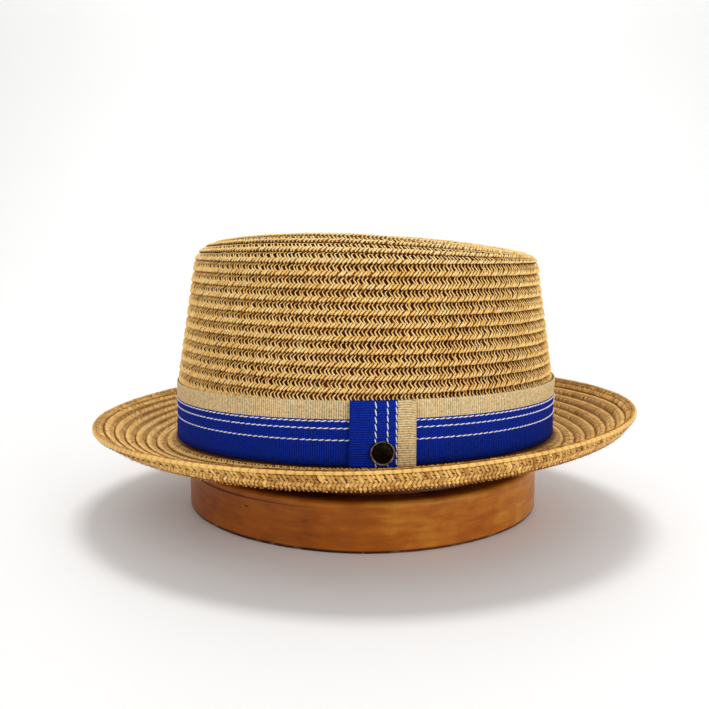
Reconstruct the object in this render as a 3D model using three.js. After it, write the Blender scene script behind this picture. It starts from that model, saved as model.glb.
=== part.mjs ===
// A straw porkpie hat on an oval wooden stand.
// Millimetres. +X is the back of the hat, -Y the wearer's left, +Z up.
// The origin is the middle of the stand's flat base.
import * as THREE from 'three';

// Driving dimensions of the head oval, taken at the foot of the crown
const HEAD = { halfLength: 104.9, halfWidth: 89, roundness: 1.9, shiftBack: 1 };
const SEGMENTS = 44;
const GAP = 0.3;

// Straw
const STRAW_WALL = 2;
const BRAID_PITCH = 5.95;
const BRAID_STEP = 0.7;

// Heights of the crown, and how much each rises toward both ends of the oval and toward the back
const BRIM_ROOT = { height: 43, endRise: -1.6, backRise: 1.63 };
const BAND_TOP = { height: 77.2, endRise: -0.6, backRise: 0 };
const WALL_TOP = { height: 136.3, endRise: -0.2, backRise: 0 };

// The crest of the crown dips at the front and back, and a little more at the back
const CREST = { height: 146.4, front: 1.75, ends: -3.1, diagonal: 1.2 };
const WALL_INSET = { bandTop: 2, wallTop: 11.6 };
const WALL_ROWS = Math.round((WALL_TOP.height - BAND_TOP.height) / BRAID_PITCH);
const SHOULDER_RADIUS = 15.8;
const WALL_LEAN = THREE.MathUtils.degToRad(9);

// The dished top: its drop below the crest at each inset from the foot of the crown, and how much of
// the crest's dips it still follows
const DISH = [
  { inset: 31.5, drop: 1.0, follow: 1 },
  { inset: 35.5, drop: 4.4, follow: 0.85 },
  { inset: 39.5, drop: 8.0, follow: 0.6 },
  { inset: 45.0, drop: 9.6, follow: 0.35 },
  { inset: 55.0, drop: 8.8, follow: 0.1 },
  { inset: 70.0, drop: 7.2, follow: 0 },
  { inset: 84.0, drop: 6.6, follow: 0 },
];

// The brim: it dips beside the crown, lies level for a little, then curls up to its rim. The dip's depth,
// the curl's rise and sharpness and the edge's lean from level, in radians, change round the oval.
const BRIM_WIDTH = 38.4;
const DIP_END = 7;
const BRIM_CURL = { start: 9, span: 30.2 };
const DIP_DEPTH = { mean: 2, back: 0, ends: 1.8 };
const CURL_RISE = { mean: 8.85, back: 2.9, ends: 4.85 };
const CURL_POWER = { mean: 1.4, back: 0.05, ends: 0.2 };
const EDGE_LEAN = { mean: 1.04, back: 0.275, ends: -0.51 };
const EDGE_HEIGHT = 7;
const EDGE_ROUNDING = 0.6;

// How far out the brim's section has its stops: down into the dip, then at the edge of each braid row
const DIP_STOPS = [0, 2.4, 4.8];
const BRIM_ROW_EDGES = [7.2, 13.4, 19.3, 25, 30.4, 35.6];
const ROW_STEP_RUN = 0.2;

// The ribbon
const RIBBON = { thickness: 0.8, wallGapTop: 0.7, width: 30.6 };
const KEEPER = { centre: 8, width: 30.4, columns: 8 };
const BADGE = { centre: 7.8, height: 51.8, radius: 5.7, thickness: 1.5 };
const BADGE_RIM = { width: 1, depth: 0.5, bevel: 0.35 };
const BADGE_SIDES = 28;

// The stand
const STAND = { halfLength: 98.3, halfWidth: 84, roundness: 1.9, height: 25.4 };
const STAND_LEDGE = 11;
const STAND_STEP_TOP = 46;
const POST = { halfLength: 48, halfWidth: 34 };
const STAND_EDGE_RADIUS = 1.6;

const FINISHES = {
  straw: { color: 0xc9a15d, roughness: 0.62, metalness: 0 },
  edgeStraw: { color: 0xd8bb80, roughness: 0.6, metalness: 0 },
  ribbon: { color: 0x14307f, roughness: 0.85, metalness: 0 },
  bronze: { color: 0x4a3a26, roughness: 0.4, metalness: 0.9 },
  wood: { color: 0x96592a, roughness: 0.35, metalness: 0 },
};

// Points on an oval whose ends are rounder or squarer than an ellipse's
function ovalPoint(halfLength, halfWidth, roundness, angle) {
  const power = 2 / roundness;
  const along = Math.sign(Math.cos(angle)) * Math.abs(Math.cos(angle)) ** power;
  const across = Math.sign(Math.sin(angle)) * Math.abs(Math.sin(angle)) ** power;
  return { x: halfLength * along, y: halfWidth * across };
}

function angles() {
  return Array.from({ length: SEGMENTS }, (_, i) => (2 * Math.PI * i) / SEGMENTS);
}

function headPoint(offset, height, angle) {
  const halfLength = Math.max(HEAD.halfLength + offset, HEAD.halfLength - HEAD.halfWidth);
  const halfWidth = HEAD.halfWidth + offset;
  const p = ovalPoint(halfLength, halfWidth, HEAD.roundness, angle);
  return new THREE.Vector3(p.x + HEAD.shiftBack, p.y, height);
}

// Joins a row of loops with equal numbers of points into one closed solid.
// A ring's last loop meets its first. Any other row of loops is capped at both ends.
function loopSolid(loops, isRing) {
  const sides = loops[0].length;
  const points = loops.flat();
  const triangles = [];
  const spans = isRing ? loops.length : loops.length - 1;
  for (let i = 0; i < spans; i++) {
    const here = i * sides;
    const there = ((i + 1) % loops.length) * sides;
    for (let j = 0; j < sides; j++) {
      const k = (j + 1) % sides;
      triangles.push(here + j, here + k, there + k, here + j, there + k, there + j);
    }
  }
  if (!isRing) {
    addCap(points, triangles, loops[0], 0, true);
    addCap(points, triangles, loops.at(-1), (loops.length - 1) * sides, false);
  }
  turnOutward(points, triangles);
  return toGeometry(points, triangles);
}

function addCap(points, triangles, loop, first, isStart) {
  const middle = new THREE.Vector3();
  loop.forEach((p) => middle.add(p));
  middle.divideScalar(loop.length);
  const centre = points.push(middle) - 1;
  for (let j = 0; j < loop.length; j++) {
    const here = first + j;
    const next = first + ((j + 1) % loop.length);
    triangles.push(...(isStart ? [centre, next, here] : [centre, here, next]));
  }
}

// Swaps the order of every triangle where the solid's volume comes out negative
function turnOutward(points, triangles) {
  let volume = 0;
  const cross = new THREE.Vector3();
  for (let i = 0; i < triangles.length; i += 3) {
    const [a, b, c] = [0, 1, 2].map((k) => points[triangles[i + k]]);
    volume += cross.crossVectors(b, c).dot(a);
  }
  if (volume > 0) return;
  for (let i = 0; i < triangles.length; i += 3) {
    [triangles[i + 1], triangles[i + 2]] = [triangles[i + 2], triangles[i + 1]];
  }
}

function toGeometry(points, triangles) {
  const geometry = new THREE.BufferGeometry();
  const numbers = points.flatMap((p) => [p.x, p.y, p.z]);
  geometry.setAttribute('position', new THREE.Float32BufferAttribute(numbers, 3));
  geometry.setIndex(triangles);
  geometry.computeVertexNormals();
  return geometry;
}

function namedMesh(name, geometry, finish) {
  const mesh = new THREE.Mesh(geometry, new THREE.MeshStandardMaterial(FINISHES[finish]));
  mesh.name = name;
  return mesh;
}

// Height of the crown's level at one angle. Level 0 is the brim root, 1 the band's top, 2 the wall's top
// and 3 the crest.
function levelHeight(level, angle) {
  const marks = [BRIM_ROOT, BAND_TOP, WALL_TOP].map((mark) => {
    return mark.height + mark.endRise * Math.cos(2 * angle) + mark.backRise * Math.cos(angle);
  });
  marks.push(CREST.height + crestDip(angle));
  const below = Math.min(Math.floor(level), 2);
  return THREE.MathUtils.lerp(marks[below], marks[below + 1], level - below);
}

function crestDip(angle) {
  const tilt = -CREST.front * Math.cos(angle);
  return tilt + CREST.ends * Math.cos(2 * angle) + CREST.diagonal * Math.sin(2 * angle);
}

// Height of one stop of the crown's section. Only the dished top drops below the crest.
function stopHeight(stop, angle) {
  if (stop.drop === undefined) return levelHeight(stop.level, angle);
  return CREST.height + stop.follow * crestDip(angle) - stop.drop;
}

// The crown's wall, shoulder and dished top as one section, with a stop for each braid row
function crownSection() {
  const centre = WALL_INSET.wallTop + SHOULDER_RADIUS * Math.cos(WALL_LEAN);
  const rise = SHOULDER_RADIUS * (1 - Math.sin(WALL_LEAN));
  const stops = [
    { inset: 0, level: 0 },
    { inset: WALL_INSET.bandTop, level: 1 },
  ];
  for (let row = 1; row <= WALL_ROWS; row++) {
    const part = row / WALL_ROWS;
    const inset = THREE.MathUtils.lerp(WALL_INSET.bandTop, WALL_INSET.wallTop, part);
    stops.push({ inset, level: 1 + part });
  }
  const turn = Math.PI / 2 - WALL_LEAN;
  const shoulderRows = Math.round((SHOULDER_RADIUS * turn) / BRAID_PITCH);
  for (let row = 1; row <= shoulderRows; row++) {
    const lean = WALL_LEAN + (turn * row) / shoulderRows;
    const climb = SHOULDER_RADIUS * (Math.sin(lean) - Math.sin(WALL_LEAN));
    stops.push({ inset: centre - SHOULDER_RADIUS * Math.cos(lean), level: 2 + climb / rise });
  }
  return [...stops, ...DISH];
}

function crownLoop(stop, outward, upward) {
  return angles().map((angle) => {
    return headPoint(outward - stop.inset, stopHeight(stop, angle) + upward, angle);
  });
}

// The direction that the crown's wall faces between two stops of its section, seen at the hat's side
function facing(stop, next) {
  const side = Math.PI / 2;
  const climb = stopHeight(next, side) - stopHeight(stop, side);
  const run = next.inset - stop.inset;
  const length = Math.hypot(run, climb);
  return { outward: climb / length, upward: run / length };
}

// The outside of the crown between two stops. Each braid row's lower edge stands proud of the row below.
function outsideLoops(stops, first, last) {
  const loops = [];
  for (let i = first; i < last; i++) {
    const face = facing(stops[i], stops[i + 1]);
    const step = i === 0 ? 0 : BRAID_STEP;
    loops.push(crownLoop(stops[i], face.outward * step, face.upward * step));
    loops.push(crownLoop(stops[i + 1], 0, 0));
  }
  return loops;
}

function insideLoop(stops, i) {
  const before = facing(stops[Math.max(i - 1, 0)], stops[Math.max(i, 1)]);
  const after = i + 1 < stops.length && i > 0 ? facing(stops[i], stops[i + 1]) : before;
  const outward = (before.outward + after.outward) / 2;
  const upward = (before.upward + after.upward) / 2;
  return crownLoop(stops[i], -STRAW_WALL * outward, -STRAW_WALL * upward);
}

function insideLoops(stops, first, last) {
  const indexes = Array.from({ length: last - first + 1 }, (_, i) => first + i);
  return indexes.map((i) => insideLoop(stops, i));
}

function raised(loop, rise) {
  return loop.map((p) => new THREE.Vector3(p.x, p.y, p.z + rise));
}

// The straight wall, from the brim to the shoulder
function crownSide() {
  const stops = crownSection();
  const outside = outsideLoops(stops, 0, WALL_ROWS + 1);
  const inside = insideLoops(stops, 0, WALL_ROWS + 1);
  outside[0] = raised(outside[0], GAP);
  inside[0] = raised(inside[0], GAP);
  const level = inside.at(-1).map((p, i) => new THREE.Vector3(p.x, p.y, outside.at(-1)[i].z));
  inside[inside.length - 1] = level;
  return namedMesh('crown_side', loopSolid([...outside, ...inside.reverse()], true), 'straw');
}

// The shoulder and the dished top
function crownTip() {
  const stops = crownSection();
  const first = WALL_ROWS + 1;
  const outside = outsideLoops(stops, first, stops.length - 1);
  const inside = insideLoops(stops, first, stops.length - 1);
  const foot = crownLoop(stops[first], 0, GAP);
  outside[0] = crownLoop(stops[first], BRAID_STEP, GAP);
  inside[0] = inside[0].map((p, i) => new THREE.Vector3(p.x, p.y, foot[i].z));
  return namedMesh('crown_tip', loopSolid([...outside.reverse(), ...inside], false), 'straw');
}

// A measure that changes round the oval, from the back to the front and from the ends to the sides
function roundOval(measure, angle) {
  return measure.mean + measure.back * Math.cos(angle) + measure.ends * Math.cos(2 * angle);
}

// Height of the brim's upper side above its root, so far out from the crown
function brimRise(out, angle) {
  const dip = roundOval(DIP_DEPTH, angle) * THREE.MathUtils.smoothstep(out, 0, DIP_END);
  const part = Math.max(out - BRIM_CURL.start, 0) / BRIM_CURL.span;
  return roundOval(CURL_RISE, angle) * part ** roundOval(CURL_POWER, angle) - dip;
}

// The way that the brim's section runs, so far out
function brimWay(out, angle) {
  const step = 0.01;
  return new THREE.Vector2(2 * step, brimRise(out + step, angle) - brimRise(out - step, angle)).normalize();
}

function edgeWay(angle) {
  const lean = roundOval(EDGE_LEAN, angle);
  return new THREE.Vector2(Math.cos(lean), Math.sin(lean));
}

function leftOf(way) {
  return new THREE.Vector2(-way.y, way.x);
}

// A point of the brim's section, so far out and below its upper side
function plateSpot(angle, out, below) {
  const spot = new THREE.Vector2(out, brimRise(out, angle));
  return spot.addScaledVector(leftOf(brimWay(out, angle)), -below);
}

// A point on the turned edge, so far up it and in from its outside. The mitre where it meets the brim
// lies at no height up.
function edgeSpot(angle, up, inward) {
  const way = brimWay(BRIM_WIDTH, angle);
  const edge = edgeWay(angle);
  const mitre = leftOf(way).add(leftOf(edge));
  mitre.divideScalar(1 + leftOf(way).dot(leftOf(edge)));
  const spot = plateSpot(angle, BRIM_WIDTH, STRAW_WALL).addScaledVector(mitre, inward);
  return spot.addScaledVector(edge, up);
}

function brimLoop(spotAt) {
  return angles().map((angle) => {
    const spot = spotAt(angle);
    return headPoint(spot.x, levelHeight(0, angle) + spot.y, angle);
  });
}

function brim() {
  const plate = (out, below) => brimLoop((angle) => plateSpot(angle, out, below));
  const mitre = (inward) => brimLoop((angle) => {
    return edgeSpot(angle, 0, inward).addScaledVector(brimWay(BRIM_WIDTH, angle), -GAP);
  });
  const underside = [-STRAW_WALL, ...DIP_STOPS, ...BRIM_ROW_EDGES].map((out) => plate(out, STRAW_WALL));
  const dip = [...DIP_STOPS].reverse().map((out) => plate(out, 0));
  const loops = [...underside, mitre(0), mitre(STRAW_WALL)];
  for (const edge of [...BRIM_ROW_EDGES].reverse()) {
    loops.push(plate(edge + ROW_STEP_RUN, BRAID_STEP));
    loops.push(plate(edge, 0));
  }
  loops.push(...dip, plate(-STRAW_WALL, 0));
  return namedMesh('brim', loopSolid(loops, true), 'straw');
}

// The doubled braid that stands up round the brim, with a rounded top
function brimEdge() {
  const edge = (up, inward) => brimLoop((angle) => edgeSpot(angle, up, inward));
  const loops = [
    edge(GAP, 0),
    edge(EDGE_HEIGHT / 2, 0),
    edge(EDGE_HEIGHT - EDGE_ROUNDING, 0),
    edge(EDGE_HEIGHT, EDGE_ROUNDING),
    edge(EDGE_HEIGHT, STRAW_WALL - EDGE_ROUNDING),
    edge(EDGE_HEIGHT - EDGE_ROUNDING, STRAW_WALL),
    edge(EDGE_HEIGHT / 2, STRAW_WALL),
    edge(GAP, STRAW_WALL),
  ];
  return namedMesh('brim_edge', loopSolid(loops, true), 'edgeStraw');
}

// The ribbon's inner face, so far up it, where 0 is its foot and 1 its top
function ribbonOffset(up) {
  const foot = GAP;
  const top = RIBBON.wallGapTop - WALL_INSET.bandTop;
  return THREE.MathUtils.lerp(foot, top, up);
}

function ribbonHeight(up, angle) {
  return levelHeight(0, angle) + GAP + RIBBON.width * up;
}

function hatband() {
  const loop = (up, out) =>
    angles().map((angle) => headPoint(ribbonOffset(up) + out, ribbonHeight(up, angle), angle));
  const stops = [0, 0.5, 1];
  const outside = stops.map((up) => loop(up, RIBBON.thickness));
  const inside = stops.map((up) => loop(up, 0)).reverse();
  return namedMesh('hatband', loopSolid([...outside, ...inside], true), 'ribbon');
}

// The angle on the near side at which an oval grown by an offset reaches a place along the hat
function nearAngle(offset, x) {
  const halfLength = HEAD.halfLength + offset;
  const along = (x - HEAD.shiftBack) / halfLength;
  const cosine = Math.sign(along) * Math.abs(along) ** (HEAD.roundness / 2);
  return 2 * Math.PI - Math.acos(cosine);
}

function bandKeeper() {
  const clearance = RIBBON.thickness + GAP;
  const loops = [];
  for (let column = 0; column <= KEEPER.columns; column++) {
    const x = KEEPER.centre + KEEPER.width * (column / KEEPER.columns - 0.5);
    const angle = nearAngle(clearance, x);
    const corner = (up, out) => headPoint(ribbonOffset(up) + clearance + out, ribbonHeight(up, angle), angle);
    const outer = RIBBON.thickness;
    loops.push([corner(0, 0), corner(0, outer), corner(0.5, outer), corner(1, outer), corner(1, 0)]);
  }
  return namedMesh('band_keeper', loopSolid(loops, false), 'ribbon');
}

function badge() {
  const { radius, thickness } = BADGE;
  const { width, depth, bevel } = BADGE_RIM;
  const outline = [
    [0, 0],
    [radius - bevel, 0],
    [radius, bevel],
    [radius, thickness - bevel],
    [radius - width / 2, thickness],
    [radius - width, thickness - depth],
    [0, thickness - depth],
  ];
  const points = outline.map(([r, h]) => new THREE.Vector2(r, h));
  const mesh = namedMesh('badge', new THREE.LatheGeometry(points, BADGE_SIDES), 'bronze');
  const up = (BADGE.height - ribbonHeight(0, Math.PI / 2)) / RIBBON.width;
  const out = ribbonOffset(up) + 2 * RIBBON.thickness + 2 * GAP;
  const seat = headPoint(out, BADGE.height, nearAngle(out, BADGE.centre));
  mesh.position.copy(seat);
  mesh.rotation.x = Math.PI - Math.atan2(ribbonOffset(0) - ribbonOffset(1), RIBBON.width);
  return mesh;
}

function standLoop(inset, height) {
  return angles().map((angle) => {
    const p = ovalPoint(STAND.halfLength - inset, STAND.halfWidth - inset, STAND.roundness, angle);
    return new THREE.Vector3(p.x, p.y, height);
  });
}

function postLoop(inset, height) {
  return angles().map((angle) => {
    const p = ovalPoint(POST.halfLength - inset, POST.halfWidth - inset, STAND.roundness, angle);
    return new THREE.Vector3(p.x + HEAD.shiftBack, p.y, height);
  });
}

function stand() {
  const r = STAND_EDGE_RADIUS;
  const postTop = postTopHeight();
  const loops = [
    standLoop(r, 0),
    standLoop(0, r),
    standLoop(0, STAND.height - r),
    standLoop(r * 0.3, STAND.height - r * 0.3),
    standLoop(r, STAND.height),
    standLoop(STAND_LEDGE, STAND.height),
    standLoop(STAND_LEDGE, STAND_STEP_TOP - r),
    standLoop(STAND_LEDGE + r, STAND_STEP_TOP),
    postLoop(0, STAND_STEP_TOP),
    postLoop(0, postTop - r),
    postLoop(r, postTop),
  ];
  return namedMesh('stand', loopSolid(loops, false), 'wood');
}

// The post stops just under the lowest place of the dished top that lies over it
function postTopHeight() {
  const rim = DISH.find((stop) => stop.inset >= HEAD.halfWidth - POST.halfWidth);
  const lowest = Math.min(...angles().map((angle) => stopHeight(rim, angle)));
  return lowest - STRAW_WALL - GAP;
}

const hat = new THREE.Group();
hat.name = 'porkpie_hat_on_stand';
hat.add(stand(), brim(), brimEdge(), crownSide(), crownTip(), hatband(), bandKeeper(), badge());

export default hat;
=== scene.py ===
"""A straw porkpie hat with a striped ribbon, on an oval wooden stand."""
import math

import bpy
import numpy as np
from mathutils import Matrix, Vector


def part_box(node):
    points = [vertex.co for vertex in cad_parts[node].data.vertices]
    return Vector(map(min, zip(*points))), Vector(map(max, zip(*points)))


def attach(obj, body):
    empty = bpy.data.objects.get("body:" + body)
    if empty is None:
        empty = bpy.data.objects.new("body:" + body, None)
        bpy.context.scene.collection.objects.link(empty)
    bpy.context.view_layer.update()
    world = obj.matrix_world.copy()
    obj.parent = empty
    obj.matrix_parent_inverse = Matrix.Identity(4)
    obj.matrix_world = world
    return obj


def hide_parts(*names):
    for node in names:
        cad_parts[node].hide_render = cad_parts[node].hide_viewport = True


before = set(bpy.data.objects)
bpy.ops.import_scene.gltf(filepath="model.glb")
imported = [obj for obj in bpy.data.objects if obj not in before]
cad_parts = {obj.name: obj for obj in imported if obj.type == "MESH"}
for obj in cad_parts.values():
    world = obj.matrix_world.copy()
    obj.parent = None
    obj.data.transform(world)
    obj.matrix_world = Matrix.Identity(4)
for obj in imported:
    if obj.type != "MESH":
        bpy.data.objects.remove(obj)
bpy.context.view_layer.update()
rng = np.random.default_rng(7)

# Sizes are millimetres, and meshes are made in metres
MM = 0.001

# The head oval at the foot of the crown
HEAD_HALF_LENGTH = 104.9
HEAD_HALF_WIDTH = 89.0
HEAD_ROUNDNESS = 1.9
HEAD_SHIFT_BACK = 1.0
STRAW_WALL = 2.0

# Height of each level of the crown. It changes round the oval, as other measures do: each has its
# mean, its rise toward the back and its rise toward both ends.
BRIM_ROOT = (43.0, 1.63, -1.6)
BAND_TOP = (77.2, 0.0, -0.6)
WALL_TOP = (136.3, 0.0, -0.2)
CREST_HEIGHT = 146.4
CREST_FRONT = 1.75
CREST_ENDS = -3.1
CREST_DIAGONAL = 1.2

# The crown's section
INSET_BAND_TOP = 2.0
INSET_WALL_TOP = 11.6
WALL_ROWS = 10
SHOULDER_RADIUS = 15.8
SHOULDER_ROWS = 4
WALL_LEAN = math.radians(9)
DISH_STOPS = 80
SHOULDER_STOPS = 24

# The dished top, from its rim in: inset, drop, and how much of the crest's rise it follows
DISH = [
    (31.5, 1.0, 1.0), (35.5, 4.4, 0.85),
    (39.5, 8.0, 0.6), (45.0, 9.6, 0.35),
    (55.0, 8.8, 0.1), (70.0, 7.2, 0.0),
    (88.0, 6.6, 0.0),
]

# The brim: it dips beside the crown, lies level for a little, then curls up to its rim
BRIM_WIDTH = 38.4
DIP_END = 7.0
CURL_START = 9.0
CURL_SPAN = 30.2
DIP_DEPTH = (2.0, 0.0, 1.8)
CURL_RISE = (8.85, 2.9, 4.85)
CURL_POWER = (1.4, 0.05, 0.2)
EDGE_LEAN = (1.04, 0.275, -0.51)
EDGE_HEIGHT = 7.0
BRIM_ROWS = 8
UNDER_START = 0.3
FIRST_ROW_AT = 2.0
SECOND_ROW_AT = 8.0
FRONT_REACH = 1.5
BEND_REACH = 4
BEND_PASSES = 4
TABLE_TURNS = 180
TABLE_STOPS = 160

# The braid
BRAID_PITCH = 5.95


# Shapes that the hat's pieces share


def whole_turn(steps):
    return np.linspace(0, 2 * math.pi, steps, endpoint=False)


def unit(vectors):
    return vectors / np.maximum(np.linalg.norm(vectors, axis=-1, keepdims=True), 1e-9)


def oval(half_length, half_width, roundness, angle):
    """Points on an oval that is a little fuller or leaner than an ellipse."""
    power = 2 / roundness
    c, s = np.cos(angle), np.sin(angle)
    x = half_length * np.sign(c) * np.abs(c) ** power
    y = half_width * np.sign(s) * np.abs(s) ** power
    return x, y


def head_point(offset, height, angle):
    """A point at an offset outward from the foot of the crown."""
    least = HEAD_HALF_LENGTH - HEAD_HALF_WIDTH
    half_length = np.maximum(HEAD_HALF_LENGTH + offset, least)
    half_width = np.maximum(HEAD_HALF_WIDTH + offset, 0.3)
    x, y = oval(half_length, half_width, HEAD_ROUNDNESS, angle)
    return np.stack(np.broadcast_arrays(x + HEAD_SHIFT_BACK, y, height), -1)


def crest_dip(angle):
    ends = CREST_ENDS * np.cos(2 * angle)
    return ends - CREST_FRONT * np.cos(angle) + CREST_DIAGONAL * np.sin(2 * angle)


def round_oval(measure, angle):
    mean, back, ends = measure
    return mean + back * np.cos(angle) + ends * np.cos(2 * angle)


def level_height(level, angle):
    """Level 0 is the brim root, 1 the band's top, 2 the wall's top and 3 the crest."""
    marks = [round_oval(measure, angle) for measure in (BRIM_ROOT, BAND_TOP, WALL_TOP)]
    marks.append(CREST_HEIGHT + crest_dip(angle))
    low = np.where(level < 1, marks[0], np.where(level < 2, marks[1], marks[2]))
    high = np.where(level < 1, marks[1], np.where(level < 2, marks[2], marks[3]))
    part = level - np.clip(np.floor(level), 0, 2)
    return low + (high - low) * part


def smooth_curve(knots, count):
    """A smooth curve through a list of rows, as count rows. It passes through every knot."""
    knots = np.array(knots, float)
    padded = np.vstack([2 * knots[0] - knots[1], knots, 2 * knots[-1] - knots[-2]])
    place = np.linspace(0, len(knots) - 1, count)
    index = np.minimum(place.astype(int), len(knots) - 2)
    t = (place - index)[:, None]
    a, b, c, d = (padded[index + k] for k in range(4))
    return 0.5 * (2 * b + (c - a) * t + (2 * a - 5 * b + 4 * c - d) * t**2 + (3 * b - a - 3 * c + d) * t**3)


def crown_section():
    """The crown's section from its middle down to its foot: inset, level, drop and follow."""
    centre = INSET_WALL_TOP + SHOULDER_RADIUS * math.cos(WALL_LEAN)
    rise = SHOULDER_RADIUS * (1 - math.sin(WALL_LEAN))
    dish = [(inset, 3, drop, follow) for inset, drop, follow in reversed(DISH)]
    crest = (centre, 3, 0, 1)
    rows = list(smooth_curve(dish + [crest], DISH_STOPS))
    for lean in np.linspace(math.pi / 2, WALL_LEAN, SHOULDER_STOPS)[1:]:
        climb = SHOULDER_RADIUS * (math.sin(lean) - math.sin(WALL_LEAN))
        rows.append((centre - SHOULDER_RADIUS * math.cos(lean), 2 + climb / rise, 0, 1))
    rows.append((INSET_BAND_TOP, 1, 0, 1))
    rows.append((0, 0, 0, 1))
    return np.array(rows)


def stop_height(level, drop, follow, angle):
    in_dish = CREST_HEIGHT + follow * crest_dip(angle) - drop
    return np.where(level >= 3, in_dish, level_height(np.minimum(level, 2.999), angle))


class Crown:
    """The crown's outside. A row number runs from the middle of the top down to the brim."""

    def __init__(self):
        self.section = crown_section()
        inset, level, drop, follow = self.section.T
        height = stop_height(level, drop, follow, math.pi / 2)
        steps = np.hypot(np.diff(inset), np.diff(height))
        self.length = np.concatenate([[0], np.cumsum(steps)])
        self.lay_rows(level)

    def lay_rows(self, level):
        """Lays rows of one pitch on the wall, and nearly that pitch on the shoulder and the dish."""
        crest = self.length[np.argmax(level < 3) - 1]
        wall_top = self.length[-3]
        band_top = self.length[-2]
        self.dish_rows = round(crest / BRAID_PITCH)
        self.band_row = self.dish_rows + SHOULDER_ROWS + WALL_ROWS
        pitch = (band_top - wall_top) / WALL_ROWS
        below = (self.length[-1] - band_top) / pitch
        self.foot_row = self.band_row + below
        rows = [0, self.dish_rows, self.dish_rows + SHOULDER_ROWS, self.band_row, self.foot_row]
        self.row_marks = np.array(rows, float)
        self.length_marks = np.array([0, crest, wall_top, band_top, self.length[-1]])

    def position(self, row, angle):
        length = np.interp(row, self.row_marks, self.length_marks)
        inset, level, drop, follow = (np.interp(length, self.length, c) for c in self.section.T)
        return head_point(-inset, stop_height(level, drop, follow, angle), angle)


def brim_rise(out, angle):
    """Height of the brim's upper side above its root, so far out from the crown."""
    t = np.clip(out / DIP_END, 0, 1)
    part = np.maximum(out - CURL_START, 0) / CURL_SPAN
    curl = round_oval(CURL_RISE, angle) * part ** round_oval(CURL_POWER, angle)
    return curl - round_oval(DIP_DEPTH, angle) * t * t * (3 - 2 * t)


def brim_way(out, angle):
    step = 0.01
    climb = (brim_rise(out + step, angle) - brim_rise(out - step, angle)) / (2 * step)
    return np.stack([np.ones_like(climb), climb], -1) / np.sqrt(1 + climb**2)[..., None]


def left_of(way):
    return np.stack([-way[..., 1], way[..., 0]], -1)


def plate_spot(out, angle, below):
    """A point of the brim's section, so far out and below its upper side."""
    out, angle = np.broadcast_arrays(np.asarray(out, float), angle)
    spot = np.stack([out, brim_rise(out, angle)], -1)
    return spot - left_of(brim_way(out, angle)) * below


def edge_way(angle):
    lean = round_oval(EDGE_LEAN, angle)
    return np.stack([np.cos(lean), np.sin(lean)], -1)


def edge_spot(up, angle, inward):
    """A point on the turned edge, so far up it and in from its outside."""
    up, angle, inward = np.broadcast_arrays(np.asarray(up, float), angle, inward)
    here, there = left_of(brim_way(np.full_like(up, BRIM_WIDTH), angle)), left_of(edge_way(angle))
    mitre = (here + there) / (1 + (here * there).sum(-1))[..., None]
    foot = plate_spot(BRIM_WIDTH, angle, STRAW_WALL)
    return foot + mitre * inward[..., None] + edge_way(angle) * up[..., None]


def brim_point(spot, angle):
    height = level_height(0, angle) + spot[..., 1]
    return head_point(spot[..., 0], height, angle)


class BrimTop:
    """The brim's upper side and the inside of its turned edge, with the bend between them softened.

    Row 0 is the crown's foot, BRIM_ROWS the bend and BRIM_ROWS + 1 the rim.
    """

    def __init__(self):
        angle = whole_turn(TABLE_TURNS)
        corner = edge_spot(0, angle, STRAW_WALL)
        part = np.linspace(0, 1, 200)[:, None]
        plate = plate_spot(corner[:, 0] * part, angle, 0)
        edge = edge_spot(EDGE_HEIGHT * part[1:], angle, STRAW_WALL)
        path = np.concatenate([plate, edge])
        steps = np.linalg.norm(np.diff(path, axis=0), axis=-1)
        arc = np.concatenate([np.zeros((1, TABLE_TURNS)), np.cumsum(steps, 0)])
        self.length = arc[-1]
        self.bend = arc[len(part) - 1] + FRONT_REACH * np.clip(-np.cos(angle), 0, 1)
        even = np.linspace(0, 1, TABLE_STOPS)
        self.table = np.empty((TABLE_TURNS, TABLE_STOPS, 2))
        for i in range(TABLE_TURNS):
            for k in range(2):
                line = np.interp(even * arc[-1, i], arc[:, i], path[:, i, k])
                for _ in range(BEND_PASSES):
                    line = self.softened(line)
                self.table[i, :, k] = line

    @staticmethod
    def softened(line):
        """A moving average that leaves the ends alone."""
        sums = np.concatenate([[0], np.cumsum(line)])
        index = np.arange(len(line))
        half = np.minimum(BEND_REACH, np.minimum(index, len(line) - 1 - index))
        return (sums[index + half + 1] - sums[index - half]) / (2 * half + 1)

    def turn_place(self, angle):
        place = (angle % (2 * math.pi)) / (2 * math.pi) * TABLE_TURNS
        index = np.floor(place).astype(int)
        return index % TABLE_TURNS, (index + 1) % TABLE_TURNS, place - index

    def arc_at(self, row, angle):
        first, second, part = self.turn_place(angle)
        bend = self.bend[first] * (1 - part) + self.bend[second] * part
        end = self.length[first] * (1 - part) + self.length[second] * part
        hidden = FIRST_ROW_AT * np.clip(row, 0, 1)
        inner = (SECOND_ROW_AT - FIRST_ROW_AT) * np.clip(row - 1, 0, 1)
        middle = (bend - SECOND_ROW_AT) * np.clip((row - 2) / (BRIM_ROWS - 2), 0, 1)
        edge = (end - bend) * np.clip(row - BRIM_ROWS, 0, 1)
        return hidden + inner + middle + edge, end

    def position(self, row, angle):
        row, angle = np.broadcast_arrays(np.asarray(row, float), angle)
        arc, end = self.arc_at(row, angle)
        place = np.clip(arc / end, 0, 1) * (TABLE_STOPS - 1)
        index = np.minimum(np.floor(place).astype(int), TABLE_STOPS - 2)
        part = (place - index)[..., None]
        first, second, turn = self.turn_place(angle)
        turn = turn[..., None]
        here = self.table[first, index] * (1 - part) + self.table[first, index + 1] * part
        there = self.table[second, index] * (1 - part) + self.table[second, index + 1] * part
        return brim_point(here * (1 - turn) + there * turn, angle)


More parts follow.
